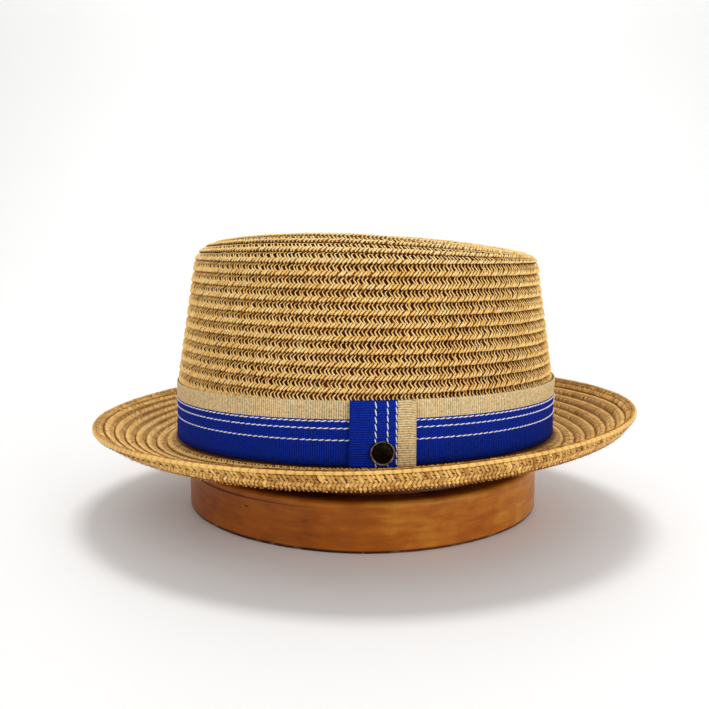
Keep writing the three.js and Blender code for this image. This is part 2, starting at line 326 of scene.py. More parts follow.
def brim_under(row, angle):
    """The brim's underside, from the foot of the turned edge at row 0 in to the head opening."""
    width = BRIM_WIDTH - UNDER_START
    out = width - (width + STRAW_WALL) * np.asarray(row, float) / BRIM_ROWS
    out, angle = np.broadcast_arrays(out, angle)
    return brim_point(plate_spot(out, angle, STRAW_WALL), angle)


def edge_outside(row, angle):
    """The outside of the turned edge, from its top at row 0 to its foot at row 1."""
    row, angle = np.broadcast_arrays(np.asarray(row, float), angle)
    return brim_point(edge_spot(EDGE_HEIGHT * (1 - row), angle, 0.0), angle)


def raised(surface, row, angle, height, side=1):
    """Points at a height above a surface, in millimetres."""
    row, angle, height = np.broadcast_arrays(row, angle, height)
    step_row, step_angle = 0.01, 0.002
    down = surface(row + step_row, angle) - surface(row - step_row, angle)
    across = surface(row, angle + step_angle) - surface(row, angle - step_angle)
    return surface(row, angle) + unit(np.cross(down, across)) * (side * height)[..., None]


# Meshes


def make_object(name, points, faces, material, shade=None, uv=None):
    """An object from points in millimetres and faces with equal numbers of corners."""
    mesh = bpy.data.meshes.new(name)
    points = np.asarray(points, np.float32).reshape(-1, 3) * MM
    faces = np.asarray(faces, np.int32)
    corners = faces.shape[1]
    mesh.vertices.add(len(points))
    mesh.vertices.foreach_set("co", points.ravel())
    mesh.loops.add(faces.size)
    mesh.loops.foreach_set("vertex_index", faces.ravel())
    mesh.polygons.add(len(faces))
    mesh.polygons.foreach_set("loop_start", np.arange(0, faces.size, corners, dtype=np.int32))
    if shade is not None:
        layer = mesh.attributes.new("shade", "FLOAT", "POINT")
        layer.data.foreach_set("value", np.asarray(shade, np.float32).ravel())
    if uv is not None:
        layer = mesh.uv_layers.new(name="UVMap")
        corner_uv = np.asarray(uv, np.float32).reshape(-1, 2)[faces.ravel()]
        layer.data.foreach_set("uv", corner_uv.ravel())
    mesh.update(calc_edges=True)
    mesh.validate()
    mesh.polygons.foreach_set("use_smooth", np.ones(len(mesh.polygons), bool))
    obj = bpy.data.objects.new(name, mesh)
    bpy.context.scene.collection.objects.link(obj)
    mesh.materials.append(material)
    return obj


def grid_faces(rows, columns, wrap_rows=False, wrap_columns=True):
    """Quads that join a grid of points, numbered row by row."""
    i = np.arange(rows if wrap_rows else rows - 1)
    j = np.arange(columns if wrap_columns else columns - 1)
    i, j = np.meshgrid(i, j, indexing="ij")
    down = (i + 1) % rows
    right = (j + 1) % columns
    quads = [i * columns + j, i * columns + right, down * columns + right, down * columns + j]
    return np.stack(quads, -1).reshape(-1, 4)


def copied_faces(faces, count, points_each, first=0):
    """The same faces for each of a count of copies, which have so many points each."""
    starts = first + np.arange(count) * points_each
    return (faces[None] + starts[:, None, None]).reshape(-1, faces.shape[1])


def capped_object(name, rings, material, tones, middles=None, end_tones=(0, 0)):
    """A solid from rings of points and their tones, with a fan of triangles over each end."""
    middles = middles or [rings[0].mean(axis=0), rings[-1].mean(axis=0)]
    sides = len(rings[0])
    quads = grid_faces(len(rings), sides)
    near = np.arange(sides)
    after = (near + 1) % sides
    last = (len(rings) - 1) * sides
    middle = np.full(sides, len(rings) * sides)
    first_fan = np.stack([middle, after, near], -1)
    last_fan = np.stack([middle + 1, last + near, last + after], -1)
    faces = np.concatenate([quads[:, [0, 1, 2]], quads[:, [0, 2, 3]], first_fan, last_fan])
    shade = np.concatenate([np.broadcast_to(tone, sides) for tone in tones] + [end_tones])
    return make_object(name, np.concatenate([*rings, middles]), faces, material, shade)


def place_piece(obj, slot, *nodes):
    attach(obj, "root")
    if nodes:
        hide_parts(*nodes)
    return obj


# The braid. Each strand's path over the face of one row: how far along in millimetres, how far down
# the row from 0 to 1, its height above the row's base and its width. Each period of a row has four.

STRANDS = [
    [
        (2.05, -0.12, -0.80, 0.62), (1.70, 0.03, -0.15, 0.62),
        (1.27, 0.11, 0.20, 0.62), (1.17, 0.17, 0.45, 0.62),
        (1.45, 0.28, 0.75, 0.62), (1.90, 0.38, 0.95, 0.66),
        (2.30, 0.48, 0.85, 0.74), (2.70, 0.56, 0.40, 0.74),
    ],
    [
        (4.30, -0.10, -0.80, 0.62), (3.85, 0.05, -0.05, 0.62),
        (3.35, 0.13, 0.30, 0.62), (3.00, 0.21, 0.60, 0.62),
        (3.20, 0.31, 0.90, 0.64), (3.60, 0.43, 1.00, 0.68),
        (4.00, 0.51, 0.80, 0.74), (4.40, 0.60, 0.30, 0.74),
    ],
    [
        (2.00, 0.50, 0.25, 0.80), (1.55, 0.59, 0.85, 0.96),
        (1.00, 0.69, 1.10, 1.02), (0.35, 0.78, 1.15, 1.02),
        (-0.12, 0.87, 0.95, 0.98), (-0.32, 0.94, 0.20, 0.90),
    ],
    [
        (3.55, 0.48, 0.25, 0.80), (3.15, 0.58, 0.85, 0.96),
        (2.75, 0.68, 1.05, 1.02), (2.20, 0.79, 1.10, 1.02),
        (1.72, 0.87, 0.95, 0.98), (1.48, 0.94, 0.20, 0.90),
    ],
]

# How much the strands differ: along the row in periods, in width as a share, down and up in
# millimetres, and in tone
STRAY = {"along": 0.035, "width": 0.10, "down": 0.11, "lift": 0.07, "tone": 0.075}
GRAIN_SHIFT = 7.3

# Across a strand: how far to each side, and how far its face drops there
FINE_ACROSS = [(-0.5, 0.30), (-0.24, 0.02), (0.24, 0.02), (0.5, 0.30)]
PLAIN_ACROSS = [(-0.5, 0.28), (0.0, 0.0), (0.5, 0.28)]


def ring_angles(surface, row):
    """Angles that step evenly round one row of a surface."""
    fine = np.linspace(0, 2 * math.pi, 1441)
    points = surface(row, fine)
    arc = np.concatenate([[0], np.cumsum(np.linalg.norm(np.diff(points, axis=0), axis=1))])
    laps = np.concatenate([arc[:-1] - arc[-1], arc, arc[1:] + arc[-1]])
    turns = np.concatenate([fine[:-1] - 2 * math.pi, fine, fine[1:] + 2 * math.pi])
    return arc[-1], lambda along: np.interp(along, laps, turns)


def lay_strand(surface, row, row_width, strand, style, offset):
    """Every copy of one strand round one row of the braid."""
    length, angle_at = ring_angles(surface, row + 0.5)
    count = max(4, round(length / style["period"]))
    step = length / count
    random = rng.normal(size=(4, count))
    start = (np.arange(count) + offset + STRAY["along"] * random[0]) * step
    along, down, height, width = (np.array(column) for column in zip(*strand))
    along = along * step / style["period"]
    down = down * row_width
    way = np.stack([np.gradient(along), np.gradient(down)])
    way /= np.linalg.norm(way, axis=0)
    sides, drop = (np.array(column) for column in zip(*style["across"]))
    fit = min(1, step / style["period"] + 0.1)
    width = width * (1 + STRAY["width"] * random[1][:, None]) * fit
    across = width[:, :, None] * sides
    u = start[:, None, None] + along[:, None] - across * way[1][:, None]
    v = down[:, None] + across * way[0][:, None]
    v = v + STRAY["down"] * random[2][:, None, None]
    lift = height[:, None] * style["relief"] - drop * width[:, :, None]
    lift = lift + STRAY["lift"] * random[3][:, None, None]
    points = raised(surface, row + v / row_width, angle_at(u), lift, style["side"])
    tone = style["tone"] + STRAY["tone"] * rng.normal(size=count)
    # Painted shade: each strand is drawn darker where it sinks under the others and toward its edges, and a
    # little lighter on its highest crests, on top of its own random tone.
    sunk_shade = np.clip(height, -1, 1.1)[:, None] - 0.9 - 0.5 * drop
    shade = np.broadcast_to(tone[:, None, None] + style["depth"] * sunk_shade, lift.shape)
    run = np.concatenate([[0], np.cumsum(np.hypot(np.diff(along), np.diff(down)))])
    uv_u = np.broadcast_to(run[:, None], lift.shape) + GRAIN_SHIFT * np.arange(count)[:, None, None]
    uv_v = np.broadcast_to(sides + 0.5, lift.shape)
    return points, shade, np.stack([uv_u, uv_v], -1)


def braid(name, surface, rows, row_width, material, style, strands=STRANDS):
    """Plaited strands over a run of rows, as one mesh."""
    points, shades, uvs, faces = [], [], [], []
    first = 0
    for row in rows:
        offset = rng.random()
        for strand in strands:
            laid, shade, uv = lay_strand(surface, row, row_width, strand, style, offset)
            count, stops, sides = laid.shape[:3]
            one = grid_faces(stops, sides, wrap_columns=False)
            faces.append(copied_faces(one, count, stops * sides, first))
            first += count * stops * sides
            points.append(laid.reshape(-1, 3))
            shades.append(shade.reshape(-1))
            uvs.append(uv.reshape(-1, 2))
    quads = np.concatenate(faces)
    if style["side"] > 0:
        quads = quads[:, ::-1]
    points, shade, uv = (np.concatenate(part) for part in (points, shades, uvs))
    return make_object(name, points, quads, material, shade, uv)


# In a style, depth is how strongly the strands are painted darker where they sink, as painted shade.
WALL_STYLE = {"period": 3.84, "across": FINE_ACROSS, "relief": 1.0, "tone": 0.72, "depth": 0.17, "side": 1}
TOP_STYLE = {**WALL_STYLE, "across": PLAIN_ACROSS, "tone": 0.82}
BRIM_STYLE = {**TOP_STYLE, "relief": 0.85, "tone": 0.66}
UNDER_STYLE = {**TOP_STYLE, "relief": 0.7, "side": -1}


# The ground under the strands, a closed shell stepped like shingles. Each ring of a row is so far down it, at
# a height and with a tone. The ground stands for the straw beneath, and its tones are painted shade: near
# black where each row meets the next, under the edge of the row above, and dark brown across the middle of
# the row.

GROUND_STEPS = [
    (0.01, -1.00, 0.01), (0.20, -0.95, 0.01),
    (0.47, -0.45, 0.04), (0.57, 0.00, 0.22),
    (0.85, 0.40, 0.24), (0.91, 0.00, 0.08),
    (0.98, -0.90, 0.01),
]
RING_STEPS = 240
TOP_RING = 0.3
UNDER_PITCH = 5.0
GROUND_SINK = -0.15


def ring_points(surface, row, height, side=1):
    return raised(surface, float(row), whole_turn(RING_STEPS), height, side)


def ground_rings(surface, rows, relief=1.0, paler=0.0):
    rings = []
    tones = []
    for row in rows:
        for down, height, tone in GROUND_STEPS:
            rings.append(ring_points(surface, row + down, height * relief))
            tones.append(tone + paler)
    return rings, tones


# Materials


class Look:
    """A material in the making, with its shader and its texture coordinates."""

    def __init__(self, name, roughness, specular=0.5):
        self.material = bpy.data.materials.new(name)
        self.material.use_nodes = True
        self.nodes = self.material.node_tree.nodes
        self.shader = self.nodes["Principled BSDF"]
        self.set("Roughness", roughness)
        self.set("Specular IOR Level", specular)
        places = self.nodes.new("ShaderNodeTexCoord").outputs
        self.object, self.uv = places["Object"], places["UV"]

    def join(self, value, socket):
        """Gives an input a number, a vector or another node's output."""
        if isinstance(value, bpy.types.NodeSocket):
            self.material.node_tree.links.new(value, socket)
        else:
            socket.default_value = value

    def set(self, name, value):
        self.join(value, self.shader.inputs[name])

    def node(self, kind, *inputs, **values):
        """The outputs of a new node. Its inputs come in order or by name, and its settings by name."""
        node = self.nodes.new("ShaderNode" + kind)
        for key, value in values.items():
            if key in node.inputs:
                self.join(value, node.inputs[key])
            else:
                setattr(node, key, value)
        for socket, value in zip(node.inputs, inputs):
            self.join(value, socket)
        return node.outputs

    def noise(self, place, scale, detail, **more):
        return self.node("TexNoise", Vector=place, Scale=scale, Detail=detail, **more)["Fac"]

    def shade(self):
        return self.node("Attribute", attribute_name="shade")["Fac"]

    def scaled(self, value, factor, added):
        return self.node("Math", value, factor, added, operation="MULTIPLY_ADD")[0]

    def sum(self, first, second):
        return self.node("Math", first, second, operation="ADD")[0]

    def ramp(self, value, stops):
        """The colours of a ramp, picked by a value."""
        ramp = self.nodes.new("ShaderNodeValToRGB")
        elements = ramp.color_ramp.elements
        while len(elements) < len(stops):
            elements.new(0.5)
        for element, (place, color) in zip(elements, stops):
            element.position = place
            element.color = (*color, 1)
        self.join(value, ramp.inputs["Fac"])
        return ramp.outputs["Color"]

    def mixed(self, amount, first, second):
        """A colour between two."""
        mix = self.nodes.new("ShaderNodeMix")
        mix.data_type = "RGBA"
        for place, value in ((0, amount), (6, first), (7, second)):
            self.join(value, mix.inputs[place])
        return mix.outputs[2]

    def bump(self, height, strength, distance):
        bump = self.node("Bump", Strength=strength, Distance=distance, Height=height)
        self.set("Normal", bump["Normal"])


# Straw colours for the braid and for the turned edge, picked by the shade attribute, which adds the painted
# shade to each strand's own tone; the dark low stops are the painted shade of sunk strands and of the ground.
STRAW_TONES = [
    (0.00, (0.045, 0.007, 0.001)),
    (0.30, (0.330, 0.115, 0.018)),
    (0.62, (0.920, 0.540, 0.145)),
    (1.00, (1.000, 0.800, 0.390)),
]
EDGE_TONES = [
    (0.00, (0.060, 0.018, 0.003)),
    (0.30, (0.420, 0.190, 0.040)),
    (0.62, (0.900, 0.560, 0.165)),
    (1.00, (1.000, 0.800, 0.370)),
]


def straw_material(name, tones):
    """Flat paper straw: a tone for each strand, fibres along it and a soft sheen."""
    look = Look(name, 0.5, 0.12)
    patch = look.scaled(look.noise(look.object, 45.0, 3.0), 0.24, -0.12)
    along_strand = look.node("Mapping", Vector=look.uv, Scale=(0.25, 5.0, 1.0))["Vector"]
    fibres = look.noise(along_strand, 2.0, 2.0)
    streak = look.scaled(fibres, 0.3, -0.15)
    total = look.sum(look.sum(look.shade(), patch), streak)
    look.set("Base Color", look.ramp(total, tones))
    look.bump(fibres, 0.35, 0.0002)
    return look.material


RIBBON_TAN_FROM = 0.72
RIBBON_BLUE = (0.004, 0.024, 0.340, 1)
RIBBON_TAN = (0.780, 0.590, 0.310, 1)
RIB_SPACING = 1.1


def ribbon_material():
    """Grosgrain: fine ribs across the ribbon, royal blue with one tan edge. The ribs are bumped, and also
    painted lighter on their crests and darker between them as painted highlight and shade.
    """
    look = Look("grosgrain", 0.75, 0.06)
    parts = look.node("SeparateXYZ", look.uv)
    is_tan = look.node("Math", parts["Y"], RIBBON_TAN_FROM, operation="GREATER_THAN")[0]
    wave = look.node("Math", parts["X"], 2 * math.pi / RIB_SPACING, operation="MULTIPLY")[0]
    rib = look.node("Math", wave, operation="SINE")[0]
    speck = look.scaled(look.noise(look.object, 900.0, 2.0), 1.1, -0.55)
    drift = look.scaled(look.noise(look.object, 30.0, 2.0), 0.3, -0.15)
    # Painted highlight and shade: each rib is drawn lighter on its crest and darker between; the speckle and
    # the drift are random tone.
    bright = look.sum(look.sum(look.scaled(rib, 0.30, 0.86), speck), drift)
    color = look.mixed(is_tan, RIBBON_BLUE, RIBBON_TAN)
    look.set("Base Color", look.node("VectorMath", color, operation="SCALE", Scale=bright)[0])
    look.bump(look.sum(rib, speck), 0.6, 0.00012)
    return look.material


WHITE_THREAD = {
    "roughness": 0.6, "scale": 1500.0, "relief": 0.4,
    "tones": [(0.3, (0.93, 0.94, 0.97)), (0.7, (0.98, 0.98, 0.99))],
}
# A near-black material: painted shade for the stitch holes along the edge and for the nail hole.
HOLE_SHADE = {
    "roughness": 0.8, "scale": 900.0, "relief": 0,
    "tones": [(0.3, (0.022, 0.007, 0.002)), (0.7, (0.050, 0.018, 0.005))],
}


def thread_material(name, thread):
    look = Look(name, thread["roughness"])
    twist = look.noise(look.object, thread["scale"], 1.0)
    look.set("Base Color", look.ramp(twist, thread["tones"]))
    if thread["relief"]:
        look.bump(twist, thread["relief"], 0.0001)
    return look.material


BRONZE_TONES = [(0.30, (0.006, 0.004, 0.003)), (0.60, (0.060, 0.030, 0.012)), (1.0, (0.45, 0.43, 0.40))]


def bronze_material():
    """Dark antique bronze, worn brighter where it is raised."""
    look = Look("antique_bronze", 0.3)
    look.set("Metallic", 0.85)
    pits = look.noise(look.object, 700.0, 4.0)
    wear = look.scaled(look.shade(), 0.42, -0.06)
    look.set("Base Color", look.ramp(look.scaled(pits, 0.7, wear), BRONZE_TONES))
    look.bump(pits, 0.5, 0.0002)
    return look.material


WOOD_TONES = [
    (0.00, (0.025, 0.005, 0.001)),
    (0.35, (0.170, 0.040, 0.003)),
    (0.60, (0.360, 0.095, 0.008)),
    (0.85, (0.590, 0.250, 0.026)),
]
SCUFF_GREY = (0.24, 0.17, 0.09, 1)
SCUFF_EDGE = [(0.56, (0, 0, 0)), (0.64, (1, 1, 1))]
SCUFF_AMOUNT = 0.45


def wood_material():
    """Varnished wood with fine level grain, worn and scuffed toward its foot, and painted lighter toward its
    right side as light from that side.
    """
    look = Look("varnished_wood", 0.3, 0.12)
    look.set("Coat Weight", 0.05)
    look.set("Coat Roughness", 0.25)
    parts = look.node("SeparateXYZ", look.object)
    level = look.node("Mapping", Vector=look.object, Scale=(12.0, 12.0, 70.0))["Vector"]
    grain = look.noise(level, 4.0, 8.0, Roughness=0.65, Distortion=0.4)
    stains = look.noise(look.object, 32.0, 7.0, Roughness=0.6)
    # Painted light: the wood grows lighter toward the right (+x), where more light falls, and the stand's
    # tones add their painted shade.
    total = look.scaled(parts["X"], 1.0, look.shade())
    total = look.scaled(stains, 0.60, look.scaled(grain, 0.45, total))
    chips = look.noise(look.object, 55.0, 6.0, Roughness=0.7)
    scuffed = look.sum(chips, look.scaled(parts["Z"], -60.0, 0.10))
    scuffs = look.ramp(scuffed, SCUFF_EDGE)
    amount = look.node("Math", scuffs, SCUFF_AMOUNT, operation="MULTIPLY")[0]
    look.set("Base Color", look.mixed(amount, look.ramp(total, WOOD_TONES), SCUFF_GREY))
    look.set("Roughness", look.scaled(stains, 0.25, 0.22))
    look.bump(grain, 0.25, 0.0004)
    return look.material


# Pieces of the hat


def crown_pieces(straw):
    crown = Crown()
    rows = range(0, crown.band_row + 2)
    outside, tones = ground_rings(crown.position, rows)
    foot = crown.foot_row - 0.02
    outside = [ring_points(crown.position, TOP_RING, 0.6), *outside[2:]]
    outside.append(ring_points(crown.position, foot, 0.0))
    inside = [ring_points(crown.position, foot, -STRAW_WALL)]
    for row in np.arange(crown.band_row + 2, 0, -0.5):
        ridge = 0.0 if row == int(row) else 0.35
        inside.append(ring_points(crown.position, row, -STRAW_WALL - ridge))
    inside.append(ring_points(crown.position, TOP_RING, -STRAW_WALL))
    # The ground keeps its painted shade. The ring at the crown's foot is painted dark as shade where the
    # crown meets the brim, and the middle of the top and the inside are plain straw tones.
    shade = [0.55, *tones[2:], 0.1] + [0.45] * len(inside)
    ends = (shade[0], shade[-1])
    ground = capped_object("crown_ground", outside + inside, straw, shade, end_tones=ends)
    wall_start = crown.dish_rows + SHOULDER_ROWS
    middle = wall_start + WALL_ROWS // 2
    place_piece(ground, "straw", "crown_side", "crown_tip")
    for name, span, style in (
        ("crown_braid_top", range(0, wall_start), TOP_STYLE),
        ("crown_braid_high", range(wall_start, middle), WALL_STYLE),
        ("crown_braid_low", range(middle, crown.band_row + 1), WALL_STYLE),
    ):
        place_piece(braid(name, crown.position, span, BRAID_PITCH, straw, style), "straw")


def brim_pieces(straw):
    brim = BrimTop()
    rows = range(1, BRIM_ROWS)
    # The ground's painted shade, a little paler on the brim than on the crown.
    top, tones = ground_rings(brim.position, rows, relief=0.6, paler=0.15)
    angle = whole_turn(RING_STEPS)
    root = [brim_point(plate_spot(out, angle, below=0.2), angle) for out in (-STRAW_WALL, 0.0)]
    rim = [ring_points(brim.position, BRIM_ROWS + up, GROUND_SINK) for up in (0.05, 0.5, 0.9)]
    outside = [ring_points(edge_outside, row, GROUND_SINK) for row in (0.1, 0.5, 0.93)]
    under = [ring_points(brim_under, row, height=-0.3, side=-1) for row in np.arange(0, BRIM_ROWS + 0.1, 1)]
    rings = root + top + rim + outside + under
    # Painted shade: the root is painted dark where the brim meets the crown, and the ground under the strands
    # of the rim, the edge's outside and the underside is painted brown as shade between them.
    shade = [0.06, 0.06, *tones, *[0.18] * len(rim), *[0.16] * len(outside), *[0.2] * len(under)]
    faces = grid_faces(len(rings), RING_STEPS, wrap_rows=True)
    ground = make_object("brim_ground", np.concatenate(rings), faces, straw, np.repeat(shade, RING_STEPS))
    place_piece(ground, "straw", "brim")
    place_piece(braid("brim_braid_top", brim.position, rows, BRAID_PITCH, straw, BRIM_STYLE), "straw")
    below = braid("brim_braid_under", brim_under, range(0, BRIM_ROWS), UNDER_PITCH, straw, UNDER_STYLE)
    place_piece(below, "straw")
    return brim


# The turned edge's three courses, laid as the braid's strands, each twice in a period

EDGE_COURSES = [
    [(0.00, 0.10, 0.05, 1.10), (0.75, 0.22, 0.38, 1.55), (1.50, 0.38, 0.42, 1.50), (2.35, 0.55, 0.00, 1.00)],
    [(2.15, 0.54, 0.00, 1.00), (1.55, 0.62, 0.38, 1.40), (0.95, 0.71, 0.42, 1.40), (0.35, 0.82, 0.00, 1.00)],
    [(0.45, 0.80, 0.00, 1.00), (0.95, 0.87, 0.34, 1.35), (1.45, 0.95, 0.05, 1.50), (1.85, 1.02, -0.60, 1.50)],
]
# Its depth paints the sunk strands darker, as painted shade.
EDGE_STYLE = {**WALL_STYLE, "period": 3.72, "relief": 0.85, "tone": 0.54, "depth": 0.15}
EDGE_STRANDS = [
    [(along + shift, *rest) for along, *rest in course]
    for course in EDGE_COURSES
    for shift in (0, EDGE_STYLE["period"] / 2)
]
RIM_STYLE = {**EDGE_STYLE, "relief": 1.3}
RIM_WIDTH = 6.0
BEAD = {"across": 1.2, "up": 0.8, "period": 4.05, "sides": 10, "steps": 8, "tone": 0.60}
# How much the bead narrows and drops at each pinch, and how much darker it is painted there as shade.
BEAD_PINCH = {"across": 0.12, "up": 0.06, "tone": 0.15}
EDGE_STITCH = {"length": 1.5, "slant": 0.5, "radius": 0.27, "start": 0.4}
EDGE_STITCH["lines"] = [(-0.5, 1.75), (STRAW_WALL + 0.4, 1.6)]


def edge_bead(material):
    """The fold along the top of the edge, pinched where each stitch goes through, and painted darker in each
    pinch as shade.
    """
    length, angle_at = ring_angles(edge_outside, 0.0)
    stitches = round(length / BEAD["period"])
    steps = stitches * BEAD["steps"]
    along = np.arange(steps) * length / steps
    angle = angle_at(along)
    phase = np.cos(2 * math.pi * np.arange(steps) / BEAD["steps"])
    pinch = np.clip(phase, 0, 1) ** 2
    edge = edge_way(angle)
    middle = edge_spot(EDGE_HEIGHT - BEAD["up"] + 0.1, angle, STRAW_WALL / 2)
    rings = []
    for turn in whole_turn(BEAD["sides"]):
        side = np.cos(turn) * (BEAD["across"] - BEAD_PINCH["across"] * pinch)
        lift = np.sin(turn) * (BEAD["up"] - BEAD_PINCH["up"] * pinch)
        spot = middle + left_of(edge) * side[:, None] + edge * lift[:, None]
        rings.append(brim_point(spot, angle))
    shade = BEAD["tone"] - BEAD_PINCH["tone"] * np.tile(pinch, len(rings))
    faces = grid_faces(len(rings), steps, wrap_rows=True)
    uv = np.stack([np.tile(along, len(rings)), np.repeat(np.linspace(0, 3, len(rings)), steps)], -1)
    obj = make_object("brim_edge_bead", np.concatenate(rings), faces, material, shade, uv)
    place_piece(obj, "edge_straw")
    return length / stitches * np.arange(stitches), angle_at


def edge_stitches(material, places, angle_at):
    """Stitches just under the bead, on both sides of the edge, painted near black as the shade in their
    holes.
    """
    starts, ends, lifts = [], [], []
    for inward, down in EDGE_STITCH["lines"]:
        angle = angle_at(places + EDGE_STITCH["start"])
        after = angle_at(places + EDGE_STITCH["start"] + EDGE_STITCH["length"])
        top = EDGE_HEIGHT - down
        starts.append(brim_point(edge_spot(top + EDGE_STITCH["slant"] / 2, angle, inward), angle))
        ends.append(brim_point(edge_spot(top - EDGE_STITCH["slant"] / 2, after, inward), after))
        outer = brim_point(edge_spot(top, angle, inward - 1), angle)
        inner = brim_point(edge_spot(top, angle, inward + 1), angle)
        lifts.append(unit(outer - inner))
    obj = capsules("brim_edge_stitches", starts, ends, EDGE_STITCH["radius"], lifts, material)
    place_piece(obj, "edge_straw")


def edge_pieces(edge_straw, hole_shade, brim):
    sides = (
        ("brim_edge_braid", edge_outside, 0, EDGE_HEIGHT, EDGE_STYLE, ["brim_edge"]),
        ("brim_rim_braid", brim.position, BRIM_ROWS, RIM_WIDTH, RIM_STYLE, []),
    )
    for name, surface, row, width, style, nodes in sides:
        strands = braid(name, surface, [row], width, edge_straw, style, EDGE_STRANDS)
        place_piece(strands, "edge_straw", *nodes)
    places, angle_at = edge_bead(edge_straw)
    edge_stitches(hole_shade, places, angle_at)


# The ribbon. Up runs from 0 at its foot to 1 at its top.

RIBBON_THICKNESS = 0.8
RIBBON_WIDTH = 30.6
RIBBON_FOOT_GAP = 0.3
RIBBON_TOP_GAP = 0.8
BULGE_BACK = 1.6
BULGE_FRONT = 1.1
RIBBON_STEPS = 480
RIBBON_ROWS = 10


def ribbon_bulge(up, angle):
    """The ribbon stands off the crown a little at the back, and less at the front, toward its top."""
    back = np.clip(np.cos(angle), 0, 1) ** 6
    front = np.clip(-np.cos(angle), 0, 1) ** 6
    ripple = 0.10 * np.sin(5 * angle + 1) + 0.06 * np.sin(11 * angle)
    return (BULGE_BACK * back + BULGE_FRONT * front + ripple) * np.clip(up, 0, 1) ** 2


def ribbon_point(up, angle, out):
    up, angle, out = np.broadcast_arrays(np.asarray(up, float), angle, out)
    offset = RIBBON_FOOT_GAP + (RIBBON_TOP_GAP - INSET_BAND_TOP - RIBBON_FOOT_GAP) * up
    height = level_height(0, angle) + RIBBON_FOOT_GAP + RIBBON_WIDTH * up
    return head_point(offset + out + ribbon_bulge(up, angle), height, angle)


def ribbon_section():
    """Round the ribbon's section: how far up, and how far out, with soft corners."""
    outside = [(up, RIBBON_THICKNESS) for up in np.linspace(0.01, 0.985, RIBBON_ROWS)]
    top = [(1.0, RIBBON_THICKNESS * 0.7), (1.0, RIBBON_THICKNESS * 0.25)]
    inside = [(up, 0.0) for up in np.linspace(0.985, 0.01, RIBBON_ROWS // 2)]
    return outside + top + inside


def hatband(material):
    length, angle_at = ring_angles(lambda row, angle: ribbon_point(0.5, angle, RIBBON_THICKNESS), 0)
    along = np.arange(RIBBON_STEPS) * length / RIBBON_STEPS
    angle = angle_at(along + 0.75 * length + KEEPER_CENTRE)
    section = ribbon_section()
    rings = [ribbon_point(up, angle, out) for up, out in section]
    faces = grid_faces(len(rings), RIBBON_STEPS, wrap_rows=True)
    uv = np.concatenate([np.stack([along, np.full_like(along, up)], -1) for up, _ in section])
    obj = make_object("hatband_ribbon", np.concatenate(rings), faces, material, None, uv)
    place_piece(obj, "ribbon", "hatband")
    return obj, length, angle_at


STITCH_LINES = [0.69, 0.58, 0.40]
STITCH_PERIOD = 3.1
STITCH_LENGTH = 3.05
STITCH_RADIUS = 0.30
LINE_SHIFT = 0.33
STITCH_STRAY = 0.04
STITCH_SLANT = 0.008
STITCH_LIFT = 0.05
OUTWARD_LEAN = 0.05


def capsules(name, starts, ends, radius, lifts, material):
    """Small round-ended threads from starts to ends, each with its own outward way."""
    starts, ends, lift = (np.concatenate(part) for part in (starts, ends, lifts))
    sides, stops = 6, 5
    along = np.linspace(0, 1, stops)
    thick = np.array([0.35, 0.9, 1.0, 0.9, 0.35]) * radius
    arch = np.array([-0.5, 0.15, 0.3, 0.15, -0.5]) * radius
    run = ends - starts
    side = unit(np.cross(unit(run), lift))
    turn = whole_turn(sides)
    side, lift, run = side[:, None], lift[:, None], run[:, None]
    middle = starts[:, None] + run * along[:, None] + lift * arch[:, None]
    ring = side * np.cos(turn)[:, None] + lift * np.sin(turn)[:, None]
    points = middle[:, :, None] + ring[:, None] * thick[:, None, None]
    faces = copied_faces(grid_faces(stops, sides), len(starts), stops * sides)
    return make_object(name, points.reshape(-1, 3), faces, material)


def outward_at(angle):
    """The level way out from the ribbon at an angle, leaning up a little."""
    step = 0.002
    a = head_point(0.0, 0.0, angle + step)
    b = head_point(0.0, 0.0, angle - step)
    out = np.cross(a - b, np.array([0.0, 0.0, 1.0]))
    out[:, 2] = OUTWARD_LEAN * np.linalg.norm(out[:, :2], axis=1)
    return unit(out)


def band_stitches(material, length, angle_at, covered):
    """Three running lines of white stitches, left out where the keeper covers them."""
    starts, ends, lifts = [], [], []
    for line, up in enumerate(STITCH_LINES):
        count = round(length / STITCH_PERIOD)
        stray = STITCH_STRAY * rng.normal(size=count)
        place = (np.arange(count) + LINE_SHIFT * line + stray) * length / count
        start, end = angle_at(place), angle_at(place + STITCH_LENGTH)
        turns = np.stack([start, end]) % (2 * math.pi)
        hidden = np.all((turns > covered[0]) & (turns < covered[1]), axis=0)
        start, end = start[~hidden], end[~hidden]
        starts.append(ribbon_point(up - STITCH_SLANT, start, RIBBON_THICKNESS + STITCH_LIFT))
        ends.append(ribbon_point(up + STITCH_SLANT, end, RIBBON_THICKNESS + STITCH_LIFT))
        lifts.append(outward_at((start + end) / 2))
    obj = capsules("hatband_stitches", starts, ends, STITCH_RADIUS, lifts, material)
    return place_piece(obj, "ribbon")


# The keeper, a piece of the same ribbon set upright over the band, with its blue edge to the front

KEEPER_CENTRE = 8.0
KEEPER_WIDTH = 30.4

# Each stitch line's place across the keeper, and how far its stitches slant to each side
KEEPER_LINES = {0.393: 0.012, 0.569: 0.008, 0.700: 0.008}
KEEPER_STITCHES = 9
KEEPER_STITCH_LENGTH = 3.2
KEEPER_LINE_SHIFT = 0.12
KEEPER_COLUMNS = 40
KEEPER_ROWS = 26
KEEPER_CLEAR = 0.9
KEEPER_CORNER = 0.035


def near_angle(x):
    """The angle on the near side where the ribbon's outside lies at a place along the hat."""
    along = (x - HEAD_SHIFT_BACK) / (HEAD_HALF_LENGTH + RIBBON_THICKNESS)
    cosine = np.sign(along) * np.abs(along) ** (HEAD_ROUNDNESS / 2)
    return 2 * math.pi - np.arccos(cosine)


